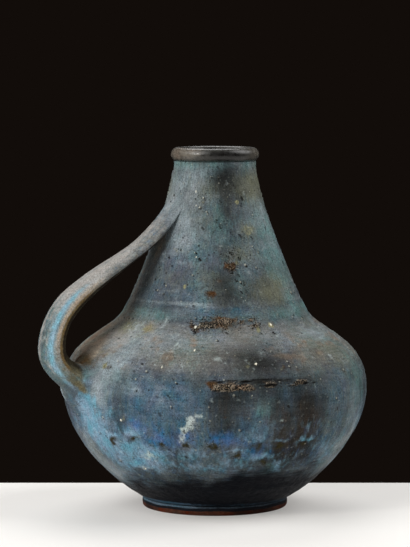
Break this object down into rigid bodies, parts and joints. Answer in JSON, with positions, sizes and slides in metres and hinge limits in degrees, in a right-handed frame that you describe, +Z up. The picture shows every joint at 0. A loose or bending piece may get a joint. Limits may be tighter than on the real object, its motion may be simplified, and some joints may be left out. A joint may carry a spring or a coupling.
{
  "type": "pitcher",
  "caption": "Round-bellied stoneware jug with a narrow conical neck, rolled rim, turned foot ring and a pulled strap handle, for holding and pouring liquid.",
  "frame": {"origin": "on the axis the jug was thrown about, at table level in the middle of the foot ring", "axes": "+Z up along that axis towards the mouth, the handle on the -X side, +Y across the handle's plane"},
  "size_m": [0.2266, 0.2034, 0.24],
  "materials": {
    "bare_red_clay": "bare fired clay, wiped",
    "dark_blue_glaze": "satin glaze, blue over near black",
    "matt_blue_glaze": "pitted satin-matt glaze, blue-grey with rust",
    "grey_blue_glaze": "satin-matt glaze, grey-blue, brown where thin",
    "brown_grey_glaze": "satin glaze, brown-grey where thin on the rim"
  },
  "bodies": {
    "root": {"foot_ring": "bare_red_clay", "lower_bowl": "dark_blue_glaze", "shoulder": "matt_blue_glaze", "neck": "matt_blue_glaze", "rim": "brown_grey_glaze", "handle": "grey_blue_glaze"}
  },
  "joints": []
}
